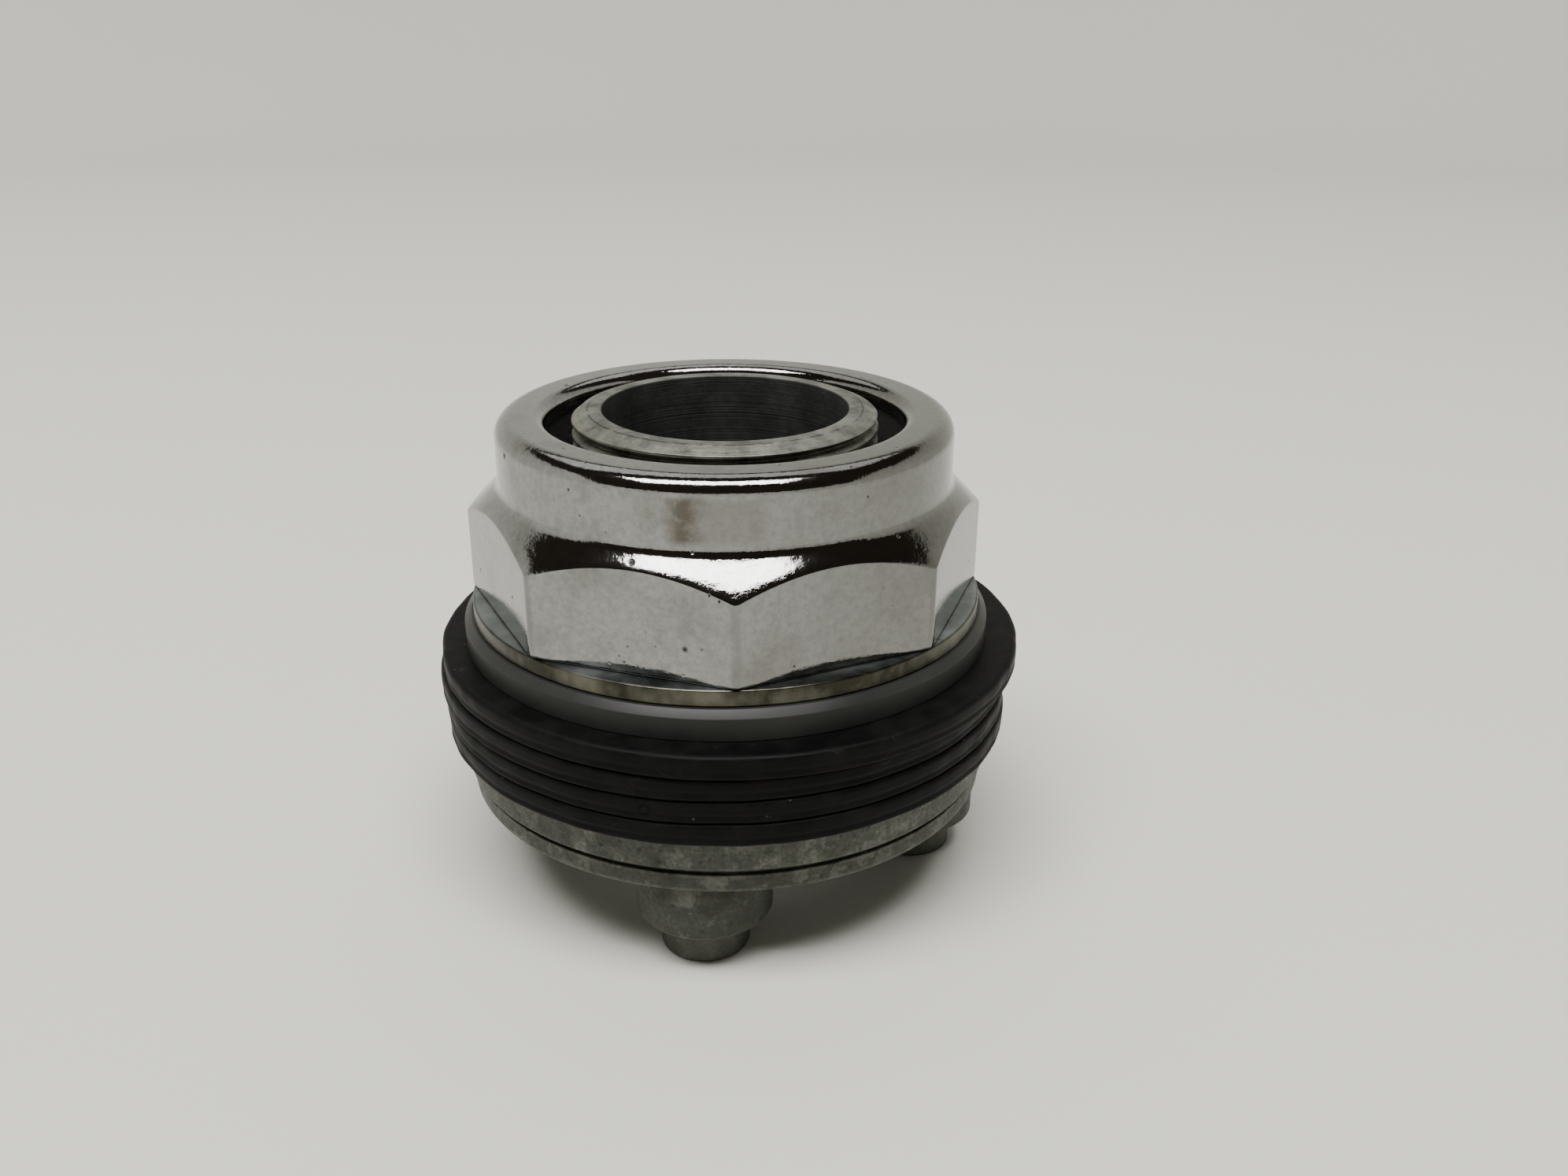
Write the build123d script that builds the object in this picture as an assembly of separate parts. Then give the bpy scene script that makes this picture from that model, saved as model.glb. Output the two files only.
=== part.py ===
from build123d import *
from math import cos, pi, radians, sin
import os

os.makedirs("parts", exist_ok=True)

# Panel operator bushing: a zinc base with a threaded neck, a stack of gaskets and
# washers on the neck, an eight-sided ring nut over them, and a sprung sleeve inside
# the neck that a lens cap screws onto. Millimetres, +Z up the neck's axis, and Z = 0
# is the plane of the four post ends that the bushing stands on.

# ---- across: the neck's radius, and what stands out from it or is let into it ----
NECK_R = 15.0            # crest radius of the neck thread, for a 30.5 mm panel hole
FLANGE_W = 5.0           # base flange, out from the neck
GASKET_W = 6.25          # rubber gaskets, the widest pieces
TRIM_W = 4.5             # plastic ring
WASHER_W = 3.8
NUT_WALL = 2.5           # ring nut, from the neck to its flats
COLLAR_W = 1.45          # round collar on top of the nut
NECK_WALL = 2.0
GUIDE_WALL = 2.0         # room for the guide stack, between the neck's bore and the sleeve
SLEEVE_WALL = 2.15
LAMP_STEP = 0.65         # the stem's bore is this much tighter than the lamp bore
STEM_WALL = 1.2

FLANGE_R = NECK_R + FLANGE_W
GASKET_R = NECK_R + GASKET_W
TRIM_R = NECK_R + TRIM_W
WASHER_R = NECK_R + WASHER_W
NUT_FLATS = 2 * (NECK_R + NUT_WALL)
COLLAR_R = NECK_R + COLLAR_W
NECK_BORE_R = NECK_R - NECK_WALL
SLEEVE_R = NECK_BORE_R - GUIDE_WALL
LAMP_R = SLEEVE_R - SLEEVE_WALL
STEM_BORE_R = LAMP_R - LAMP_STEP
STEM_R = STEM_BORE_R + STEM_WALL

STROKE = 4.0             # travel of the sleeve when it is pressed
AIR = 1.0                # how far a cutting shape runs past the face it opens

# ---- heights, from the post ends up ----
PIN_H = 3.1              # thin end of each post
BOSS_H = 4.1             # thick root of each post
FLANGE_H = 4.55          # base flange
GASKET_T = 1.7
GASKETS = 4
TRIM_T = 2.1             # plastic ring under the washer
WASHER_T = 1.2
NUT_H = 13.2             # ring nut with its collar
NUT_BODY_H = 8.35        # from the nut's underside to where the collar begins
LIP_T = 1.35             # lip of the nut that hides the neck's end
SLEEVE_RISE = 0.2        # sleeve end above the collar's lip

BASE_Z = PIN_H + BOSS_H
DECK_Z = BASE_Z + FLANGE_H
TRIM_Z = DECK_Z + GASKETS * GASKET_T
WASHER_Z = TRIM_Z + TRIM_T
NUT_Z = WASHER_Z + WASHER_T
LIP_Z = NUT_Z + NUT_H
TOP_Z = LIP_Z + SLEEVE_RISE

# ---- fits ----
RUN = 0.05               # radial running clearance
LOOSE = 0.35             # rings that drop over the neck thread
SEAT = 0.02              # pieces pushed into the neck
END_GAP = 0.05           # between a moving face and the face that stops it
NECK_GAP = 0.1           # neck end below the nut's lip

# ---- threads, cut as rings ----
PITCH = 1.5
THREAD_D = 0.6
THREAD_FLAT = 0.2
MOUTH = 0.4              # chamfer where a thread begins

# ---- neck, inside ----
FLOOR_T = 2.8            # floor of the base, which guides the sleeve's stem
NECK_TOP_Z = NUT_Z + NUT_H - LIP_T - NECK_GAP
FLOOR_Z = BASE_Z + FLOOR_T

# ---- sleeve ----
STEM_UP = 0.2            # stem end above the base's underside
COLLAR_T = 1.6           # flange that the return spring pushes on
COLLAR_PLAY = 0.2
LENS_THREAD_H = 4.6      # outer thread at the sleeve's end, for the lens cap
RELIEF_H = 0.5           # undercut below that thread
RELIEF_D = 0.4
SLEEVE_FLAT = 0.95       # flat width of the sleeve's end face
SLEEVE_CHAMFER_H = 0.45

# ---- guide stack inside the neck, from the sleeve's flange up ----
GUIDE_T = 2.85
SEAL_T = 2.0
RETAINER_T = 0.8
SNAP_T = 1.0
SNAP_GROOVE = 0.6        # depth of the snap ring's groove
SNAP_PLAY = 0.03
SNAP_GAP_DEG = 40.0
SNAP_EAR_DEG = 23.0      # each ear, from the middle of the gap
SNAP_EAR_R = 1.05
SNAP_EAR_HOLE_R = 0.4
RETAINER_PLAY = 0.3
SEAL_NOTCH_W = 0.8       # open groove in the seal's top face
SEAL_NOTCH_D = 1.0

# ---- return spring ----
WIRE_R = 0.45
COIL_GAP = 1.4           # between the coils and the neck's bore
COIL_R = NECK_BORE_R - COIL_GAP - WIRE_R
TURNS = 4
SPRING_SPARE = 1.2       # room left between the coils when the sleeve is fully pressed
SPRING_L = STROKE + (TURNS + 1) * 2 * WIRE_R + SPRING_SPARE

# ---- key that stops the sleeve turning ----
KEY_W = 2.0
KEY_IN = 0.85            # how far the key stands into the neck
KEY_DEEP = 0.4           # how far it is let into the wall
KEY_DEG = 120.0

# ---- posts ----
POST_DEG = -7.0          # first post, from straight ahead towards +X
POSTS = 4
BOSS_R = 4.8
POST_IN = 0.7            # thick root of each post, in from the flange's edge
POST_PCR = FLANGE_R - POST_IN - BOSS_R
PIN_R = 3.15
HOLE_R = 1.25
HOLE_DEPTH = 6.0
PIN_CHAMFER = 0.3

# ---- base flange edge ----
GROOVE_DROP = 2.65       # top of the edge groove below the deck
GROOVE_W = 0.45
GROOVE_D = 0.5
LIP_IN = 0.35            # lower lip is this much smaller than the flange
EDGE = 0.3
RECESS_H = 1.0           # shallow cored ring under the base
HUB_W = 2.0              # hub left round the stem
RIM_W = 2.0              # rim left at the flange's edge
RECESS_IN_R = STEM_R + HUB_W
RECESS_OUT_R = FLANGE_R - RIM_W

# ---- rings on the neck ----
GASKET_ROUND = 0.35
GASKET_SHIFT = (0.0, -0.1, -0.25, 0.3)    # each gasket's sideways sit, lowest first
GASKET_BULGE = (0.0, 0.0, 0.05, 0.4)      # and how much wider the pressure has made it
TRIM_BEVEL = 0.5
WASHER_EDGE = 0.12

# ---- ring nut ----
NUT_TURN = 1.5           # front corner, from straight ahead towards +X
COLLAR_ROUND = 1.3
MOUTH_GAP = 1.8          # open ring between the sleeve and the nut's lip
LIP_R = SLEEVE_R + MOUTH_GAP
LIP_ROUND = 0.9


def revolved(points):
    """Solid of revolution from (radius, height) points."""
    wire = Polyline([(r, 0, z) for r, z in points], close=True)
    return revolve(make_face(wire), Axis.Z)


def ring(r_in, r_out, z, height):
    """Plain ring standing on height z."""
    body = Pos(0, 0, z) * Cylinder(r_out, height, align=(Align.CENTER, Align.CENTER, Align.MIN))
    hole = Pos(0, 0, z) * Cylinder(r_in, height, align=(Align.CENTER, Align.CENTER, Align.MIN))
    return body - hole


def rod(x, y, r, z, height):
    """Upright round rod standing on height z."""
    return Pos(x, y, z) * Cylinder(r, height, align=(Align.CENTER, Align.CENTER, Align.MIN))


def thread(r, z_from, z_to, depth):
    """(radius, height) points of a ringed thread; depth is signed, away from the crest."""
    half = (PITCH - THREAD_FLAT) / 2
    points = []
    z = z_from
    while z + PITCH <= z_to:
        points += [(r, z), (r, z + THREAD_FLAT), (r + depth, z + THREAD_FLAT + half)]
        z += PITCH
    points.append((r, z))
    return points


def turned(deg, r):
    """X and Y at radius r, deg from straight ahead (-Y) towards +X."""
    return r * sin(radians(deg)), -r * cos(radians(deg))


# ---- base casting: flange, threaded neck, floor and four stepped posts ----
groove_z = DECK_Z - GROOVE_DROP
lip_r = FLANGE_R - LIP_IN
flange_z = FLOOR_Z + SPRING_L          # underside of the sleeve's flange at rest
guide_z = flange_z + COLLAR_T + END_GAP
seal_z = guide_z + GUIDE_T
retainer_z = seal_z + SEAL_T
snap_z = retainer_z + RETAINER_T + SNAP_PLAY
snap_r = NECK_BORE_R + SNAP_GROOVE
thread_from = TRIM_Z
thread_to = NECK_TOP_Z - MOUTH

outer = [(STEM_R + RUN, BASE_Z), (lip_r - EDGE, BASE_Z), (lip_r, BASE_Z + EDGE)]
outer += [(lip_r, groove_z - GROOVE_W), (lip_r - GROOVE_D, groove_z - GROOVE_W)]
outer += [(lip_r - GROOVE_D, groove_z), (FLANGE_R, groove_z)]
outer += [(FLANGE_R, DECK_Z - EDGE), (FLANGE_R - EDGE, DECK_Z), (NECK_R, DECK_Z)]
outer += thread(NECK_R, thread_from, thread_to, -THREAD_D)
outer += [(NECK_R, thread_to), (NECK_R - MOUTH, NECK_TOP_Z)]
inner = [(NECK_BORE_R, NECK_TOP_Z)]
inner += [(NECK_BORE_R, snap_z + SNAP_T + SNAP_PLAY), (snap_r, snap_z + SNAP_T + SNAP_PLAY)]
inner += [(snap_r, snap_z - SNAP_PLAY), (NECK_BORE_R, snap_z - SNAP_PLAY)]
inner += [(NECK_BORE_R, FLOOR_Z), (STEM_R + RUN, FLOOR_Z)]
base = revolved(outer + inner)

base -= ring(RECESS_IN_R, RECESS_OUT_R, BASE_Z, RECESS_H)
for i in range(POSTS):
    x, y = turned(POST_DEG + i * 360 / POSTS, POST_PCR)
    post = rod(x, y, BOSS_R, PIN_H, BOSS_H + RECESS_H)
    pin = chamfer(rod(x, y, PIN_R, 0, PIN_H).edges().sort_by(Axis.Z)[0], PIN_CHAMFER)
    base += post
    base += pin
for i in range(POSTS):
    x, y = turned(POST_DEG + i * 360 / POSTS, POST_PCR)
    base -= rod(x, y, HOLE_R, 0, HOLE_DEPTH)
base -= rod(0, 0, STEM_R + RUN, PIN_H, FLANGE_H + BOSS_H)

key_x, key_y = turned(KEY_DEG, NECK_BORE_R + (KEY_DEEP - KEY_IN) / 2)
key_l = SPRING_L + COLLAR_T
key_place = Pos(key_x, key_y, FLOOR_Z) * Rot(0, 0, KEY_DEG - 90)
key_slot = key_place * Box(
    KEY_DEEP + KEY_IN, KEY_W, key_l, align=(Align.CENTER, Align.CENTER, Align.MIN)
)
base -= key_slot
export_step(base, "parts/base_casting.step")

# ---- key: a steel strip let into the neck wall ----
key = key_place * Box(
    KEY_DEEP + KEY_IN - SEAT,
    KEY_W - SEAT,
    key_l - SEAT,
    align=(Align.CENTER, Align.CENTER, Align.MIN),
)
export_step(key, "parts/guide_key.step")

# ---- gaskets: four loose rubber rings on the flange ----
for i in range(GASKETS):
    plain = ring(NECK_R + LOOSE, GASKET_R + GASKET_BULGE[i], DECK_Z + i * GASKET_T, GASKET_T)
    rim = plain.edges().filter_by(GeomType.CIRCLE).group_by(SortBy.RADIUS)[-1]
    gasket = Pos(GASKET_SHIFT[i], 0, 0) * fillet(rim, GASKET_ROUND)
    export_step(gasket, f"parts/gasket_{i + 1}.step")

# ---- plastic ring with a bevelled upper edge ----
trim = ring(NECK_R + LOOSE, TRIM_R, TRIM_Z, TRIM_T)
trim_rim = trim.edges().filter_by(GeomType.CIRCLE).group_by(Axis.Z)[-1].sort_by(SortBy.RADIUS)[-1]
trim = chamfer(trim_rim, TRIM_BEVEL)
export_step(trim, "parts/trim_ring.step")

# ---- thrust washer ----
washer = ring(NECK_R + LOOSE, WASHER_R, WASHER_Z, WASHER_T)
washer_rim = washer.edges().filter_by(GeomType.CIRCLE).group_by(SortBy.RADIUS)[-1]
washer = fillet(washer_rim, WASHER_EDGE)
export_step(washer, "parts/thrust_washer.step")

# ---- ring nut: eight-sided body, coned shoulder, round collar with a lip ----
corner_r = NUT_FLATS / 2 / cos(pi / 8)
collar_z = NUT_Z + NUT_BODY_H
corner_z = collar_z - (corner_r - COLLAR_R)     # 45 degree shoulder
outline = RegularPolygon(corner_r, 8, major_radius=True, rotation=-90 + NUT_TURN)
prism = Pos(0, 0, NUT_Z) * extrude(outline, NUT_H)
shell = [(0, NUT_Z), (corner_r + AIR, NUT_Z), (corner_r + AIR, corner_z - AIR)]
shell += [(COLLAR_R, collar_z), (COLLAR_R, LIP_Z), (0, LIP_Z)]
nut = prism & revolved(shell)
crown = nut.edges().filter_by(GeomType.CIRCLE).group_by(Axis.Z)[-1]
nut = fillet(crown, COLLAR_ROUND)
nut_bore_r = NECK_R + RUN
cut = [(0, NUT_Z - AIR), (nut_bore_r + MOUTH, NUT_Z - AIR), (nut_bore_r + MOUTH, NUT_Z)]
cut += thread(nut_bore_r, NUT_Z + MOUTH, LIP_Z - LIP_T - PITCH / 2, THREAD_D)
cut += [(nut_bore_r, LIP_Z - LIP_T), (LIP_R, LIP_Z - LIP_T), (LIP_R, LIP_Z + AIR)]
cut += [(0, LIP_Z + AIR)]
nut -= revolved(cut)
mouth = nut.edges().filter_by(GeomType.CIRCLE).group_by(Axis.Z)[-1].sort_by(SortBy.RADIUS)[0]
nut = fillet(mouth, LIP_ROUND)
export_step(nut, "parts/ring_nut.step")

# ---- sleeve: lens thread and lamp bore above, spring flange, stem through the floor ----
stem_z = BASE_Z + STEM_UP
flat_r = LAMP_R + SLEEVE_FLAT
shoulder_z = TOP_Z - SLEEVE_CHAMFER_H
relief_z = shoulder_z - LENS_THREAD_H
flange_r = NECK_BORE_R - COLLAR_PLAY
profile = [(STEM_BORE_R, stem_z), (STEM_R, stem_z), (STEM_R, flange_z)]
profile += [(flange_r, flange_z), (flange_r, flange_z + COLLAR_T)]
profile += [(SLEEVE_R, flange_z + COLLAR_T), (SLEEVE_R, relief_z - RELIEF_H)]
profile += [(SLEEVE_R - RELIEF_D, relief_z - RELIEF_H), (SLEEVE_R - RELIEF_D, relief_z)]
profile += [(SLEEVE_R, relief_z), (SLEEVE_R, shoulder_z), (flat_r, TOP_Z)]
profile += [(LAMP_R, TOP_Z), (LAMP_R, flange_z + COLLAR_T), (STEM_BORE_R, flange_z)]
sleeve = revolved(profile)
notch = key_place * Box(
    KEY_DEEP + KEY_IN + 2 * RUN,
    KEY_W + 2 * RUN,
    key_l + PITCH,
    align=(Align.CENTER, Align.CENTER, Align.MIN),
)
sleeve -= notch
export_step(sleeve, "parts/plunger_sleeve.step")

# ---- return spring between the floor and the sleeve's flange ----
coil_h = SPRING_L - 2 * WIRE_R - 2 * SEAT
coil = Helix(pitch=coil_h / TURNS, height=coil_h, radius=COIL_R)
section = Plane(coil @ 0, z_dir=coil % 0) * Circle(WIRE_R)
spring = Pos(0, 0, FLOOR_Z + WIRE_R + SEAT) * sweep(section, path=coil)
export_step(spring, "parts/return_spring.step")

# ---- guide bushing: upper guide of the sleeve, and its stop ----
bushing = ring(SLEEVE_R + RUN, NECK_BORE_R - SEAT, guide_z, GUIDE_T - SEAT)
export_step(bushing, "parts/guide_bushing.step")

# ---- wiper seal: rubber ring with an open lip on top ----
seal_mid = (SLEEVE_R + NECK_BORE_R) / 2
seal_top = retainer_z - SEAT
seal_points = [(SLEEVE_R + RUN, seal_z), (NECK_BORE_R - SEAT, seal_z)]
seal_points += [(NECK_BORE_R - SEAT, seal_top), (seal_mid + SEAL_NOTCH_W / 2, seal_top)]
seal_points += [(seal_mid, seal_top - SEAL_NOTCH_D), (seal_mid - SEAL_NOTCH_W / 2, seal_top)]
seal_points += [(SLEEVE_R + RUN, seal_top)]
seal = revolved(seal_points)
export_step(seal, "parts/wiper_seal.step")

# ---- retainer washer over the seal ----
retainer = ring(SLEEVE_R + RETAINER_PLAY, NECK_BORE_R - SEAT, retainer_z, RETAINER_T)
export_step(retainer, "parts/seal_retainer.step")

# ---- internal snap ring: open ring with two eared ends, in the neck's groove ----
ear_r = SLEEVE_R + RETAINER_PLAY + SNAP_EAR_R
snap = ring(ear_r, snap_r - SEAT, snap_z, SNAP_T)
far = 2 * snap_r
half_gap = SNAP_GAP_DEG / 2
gap = Polyline((0, 0), turned(180 - half_gap, far), turned(180 + half_gap, far), close=True)
snap -= Pos(0, 0, snap_z) * extrude(make_face(gap), SNAP_T)
ears = [turned(180 + side * SNAP_EAR_DEG, ear_r) for side in (-1, 1)]
for x, y in ears:
    snap += rod(x, y, SNAP_EAR_R, snap_z, SNAP_T)
for x, y in ears:
    snap -= rod(x, y, SNAP_EAR_HOLE_R, snap_z, SNAP_T)
export_step(snap, "parts/snap_ring.step")

print("heights", BASE_Z, DECK_Z, TRIM_Z, WASHER_Z, NUT_Z, LIP_Z, TOP_Z)
print("inside", FLOOR_Z, flange_z, guide_z, seal_z, retainer_z, snap_z, NECK_TOP_Z)
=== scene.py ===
# %% [markdown]
# # A panel operator bushing on a pale table
#
# This lesson builds the looks of the front bushing of a panel push button: a zinc base on four
# stepped posts, rubber gaskets, a plastic ring and a zinc washer on its threaded neck, an
# eight-sided chromed ring nut over them, and a sprung sleeve in the nut's mouth.
#
# The solids come first, as a fixed frame in metres. Every piece made here takes its place from
# that frame, so nothing has to be fitted by eye.

# %% Load the frame
import math

import bmesh
import bpy
from mathutils import Euler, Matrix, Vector


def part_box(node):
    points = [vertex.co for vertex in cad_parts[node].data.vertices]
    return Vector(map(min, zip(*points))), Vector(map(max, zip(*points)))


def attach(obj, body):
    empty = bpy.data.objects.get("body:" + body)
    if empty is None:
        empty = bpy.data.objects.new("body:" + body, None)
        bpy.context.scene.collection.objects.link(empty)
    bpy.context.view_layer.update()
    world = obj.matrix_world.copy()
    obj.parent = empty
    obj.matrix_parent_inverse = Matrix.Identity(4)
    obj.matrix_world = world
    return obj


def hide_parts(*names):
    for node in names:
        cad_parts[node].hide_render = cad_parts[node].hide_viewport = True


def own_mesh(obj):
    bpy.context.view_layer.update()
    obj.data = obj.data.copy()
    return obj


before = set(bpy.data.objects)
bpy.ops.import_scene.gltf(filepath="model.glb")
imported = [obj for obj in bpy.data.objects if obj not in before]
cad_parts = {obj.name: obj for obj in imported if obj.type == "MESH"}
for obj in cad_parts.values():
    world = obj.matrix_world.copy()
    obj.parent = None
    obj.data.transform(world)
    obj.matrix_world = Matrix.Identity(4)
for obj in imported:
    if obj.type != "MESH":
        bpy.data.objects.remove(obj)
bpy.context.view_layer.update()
mm = 0.001

# %% Heights of the stack, read from the solids
def span(node):
    """Lowest and highest Z of a solid, in metres."""
    low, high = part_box(node)
    return low.z, high.z


nut_z, lip_z = span("ring_nut")
washer_z, washer_top = span("thrust_washer")
trim_z, trim_top = span("trim_ring")
stem_z, top_z = span("plunger_sleeve")
neck_z = span("base_casting")[1]
deck_z = span("gasket_1")[0]
print("nut from", round(nut_z / mm, 2), "mm, sleeve end at", round(top_z / mm, 2), "mm")

# %% [markdown]
# ## Camera
#
# A small object is shot from close by, so its near side looks larger than its far side. The
# camera stands about 10 cm away, a little above the nut, and looks slightly past it. A lens of
# about 32 mm on a full frame gives that much perspective.

# %% Camera
camera = bpy.data.objects.new("camera", bpy.data.cameras.new("camera"))
bpy.context.collection.objects.link(camera)
bpy.context.scene.camera = camera
camera.data.lens = 31.65
camera.data.sensor_width = 36
camera.data.clip_start = 0.002
camera.data.clip_end = 20
height, reach = math.radians(19.1), 102.1 * mm
aim = Vector((0, 0, 27.8 * mm))
camera.location = aim + reach * Vector((0, -math.cos(height), math.sin(height)))
look = (aim - camera.location).to_track_quat("-Z", "Y")
turn = Euler((math.radians(-3.52), 0, 0)).to_quaternion()
pan = Euler((0, math.radians(-2.36), 0)).to_quaternion()
roll = Euler((0, 0, math.radians(-0.43))).to_quaternion()
camera.rotation_mode = "QUATERNION"
camera.rotation_quaternion = look @ pan @ turn @ roll
print("camera stands at", [round(c / mm, 1) for c in camera.location], "mm")

# %% [markdown]
# ## Finishes
#
# Each finish is a small node network. The pattern coordinates are Object coordinates, which
# here are plain metres, so a Noise Texture with a scale of 1000 has grains of about a millimetre.
# A helper adds a node and plugs its inputs in one line, which keeps the networks readable.

# %% Helpers for node networks
def plug(tree, socket, value):
    """Links an input to another node's output, or sets it to a plain value."""
    if isinstance(value, bpy.types.NodeSocket):
        tree.links.new(value, socket)
    else:
        socket.default_value = value


def add(tree, kind, settings=None, **plugs):
    """Adds a node, sets its options, and fills its inputs by name, or by number as Input_0."""
    made = tree.nodes.new(kind)
    for key, value in (settings or {}).items():
        setattr(made, key, value)
    for key, value in plugs.items():
        label = int(key[6:]) if key.startswith("Input_") else key.replace("_", " ")
        plug(tree, made.inputs[label], value)
    return made


def sums(tree, operation, a, b=0.0, c=None, clamp=False):
    """One Math node; returns its output."""
    settings = {"operation": operation, "use_clamp": clamp}
    made = add(tree, "ShaderNodeMath", settings, Input_0=a, Input_1=b)
    if c is not None:
        plug(tree, made.inputs[2], c)
    return made.outputs[0]


def times(tree, a, b):
    """Two values multiplied."""
    return sums(tree, "MULTIPLY", a, b)


def larger(tree, a, b):
    """The larger of two values."""
    return sums(tree, "MAXIMUM", a, b)


def away_from(tree, value, centre):
    """How far a value is from a centre, to either side."""
    return sums(tree, "ABSOLUTE", sums(tree, "SUBTRACT", value, centre))


def blend_colour(tree, share, first, second):
    """Mixes two colours by a share from 0 to 1; the colour inputs are numbers 6 and 7."""
    settings = {"data_type": "RGBA"}
    made = add(tree, "ShaderNodeMix", settings, Input_0=share, Input_6=first, Input_7=second)
    return made.outputs[2]


def steps(tree, value, low, high, to_low=0.0, to_high=1.0):
    """Map Range, clamped: low..high becomes to_low..to_high."""
    made = add(tree, "ShaderNodeMapRange", {"clamp": True}, Value=value,
               From_Min=low, From_Max=high, To_Min=to_low, To_Max=to_high)
    return made.outputs[0]


def start_finish(name):
    """A new material with a Principled shader; returns material, tree, shader, object position."""
    material = bpy.data.materials.new(name)
    material.use_nodes = True
    tree = material.node_tree
    shader = tree.nodes["Principled BSDF"]
    place = add(tree, "ShaderNodeTexCoord").outputs["Object"]
    return material, tree, shader, place


def dress(tree, shader, colour, dull, metal=0.0):
    """Sets colour, roughness and metal; a plain number goes on the shader's own socket."""
    plug(tree, shader.inputs["Base Color"], colour)
    plug(tree, shader.inputs["Roughness"], dull)
    plug(tree, shader.inputs["Metallic"], metal)


def grain(tree, place, scale, detail=4.0, roughness=0.55):
    """Noise Texture value, 0 to 1."""
    made = add(tree, "ShaderNodeTexNoise", Vector=place,
               Scale=scale, Detail=detail, Roughness=roughness)
    return made.outputs["Fac"]


def specks(tree, place, scale, size, share):
    """Small round spots: 1 in a spot, 0 outside. share is how many cells get one."""
    cells = add(tree, "ShaderNodeTexVoronoi", Vector=place, Scale=scale)
    near = steps(tree, cells.outputs["Distance"], size, size * 0.45)
    pick = add(tree, "ShaderNodeSeparateColor", Color=cells.outputs["Color"]).outputs[0]
    chosen = sums(tree, "LESS_THAN", pick, share)
    return times(tree, near, chosen)


def raise_bumps(tree, shader, height, depth, strength, under=None):
    """Bump from a height between 0 and 1; depth in metres."""
    made = add(tree, "ShaderNodeBump", Strength=strength, Distance=depth, Height=height)
    if under is not None:
        tree.links.new(under, made.inputs["Normal"])
    tree.links.new(made.outputs[0], shader.inputs["Normal"])
    return made.outputs[0]


def radius_of(tree, place):
    """Distance from the neck's axis, in metres, and the height."""
    parts = add(tree, "ShaderNodeSeparateXYZ", Vector=place)
    flat = add(tree, "ShaderNodeCombineXYZ", X=parts.outputs[0], Y=parts.outputs[1])
    length = add(tree, "ShaderNodeVectorMath", {"operation": "LENGTH"}, Input_0=flat.outputs[0])
    return length.outputs["Value"], parts.outputs[2]


# %% [markdown]
# ### Chrome
#
# Chrome over zinc is almost a mirror, so most of what it shows is the room. What makes it read as
# plated metal is the fine orange-peel of the plating, faint marks from the lathe and a few pits.
# These are bumps, and a pit is also dark and rough. The rest is colour and dullness: painted
# shade tints the right side darker, a painted reflection line runs down the corners, a painted
# shadow lines the lower edge, and a painted dark reflection runs down the collar by a brown stain.

# %% Sizes that the chrome finish follows
flats = 35.0 * mm
corner_soft = 0.7 * mm
half_side = math.pi / 8
corner_out = (flats / 2 - corner_soft) / math.cos(half_side) + corner_soft
# The collar's painted reflection band and its stain lie between these two heights.
collar_marks_low, collar_marks_high = nut_z + 8.6 * mm, lip_z - 1.1 * mm
# The painted shadow along the nut's lower edge reaches up to this height.
gap_shadow_top = nut_z + 0.42 * mm
print("nut corner at radius", round(corner_out / mm, 2), "mm")

# %% Stain and painted reflection down the collar
def collar_stain_and_reflection(tree, place, blotch):
    """A painted dark reflection down the front of the collar, and a brown stain streak along its
    left side.
    """
    side, front, height = add(tree, "ShaderNodeSeparateXYZ", Vector=place).outputs
    in_front = sums(tree, "LESS_THAN", front, 0.0)
    on_collar = times(tree, steps(tree, height, collar_marks_low, collar_marks_low + 0.6 * mm), in_front)
    on_collar = times(tree, on_collar, steps(tree, height, collar_marks_high, collar_marks_high - 0.4 * mm))
    # Painted reflection: a darker band down the front of the collar.
    painted_reflection_band = steps(tree, away_from(tree, side, -0.3 * mm), 3.6 * mm, 2.2 * mm)
    painted_reflection_band = times(tree, times(tree, painted_reflection_band, on_collar), steps(tree, blotch, 0.25, 0.55, 0.5, 1.0))
    streak = steps(tree, away_from(tree, side, -2.7 * mm), 1.5 * mm, 0.3 * mm)
    streak = times(tree, times(tree, streak, on_collar), steps(tree, blotch, 0.28, 0.52))
    return painted_reflection_band, streak


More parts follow.
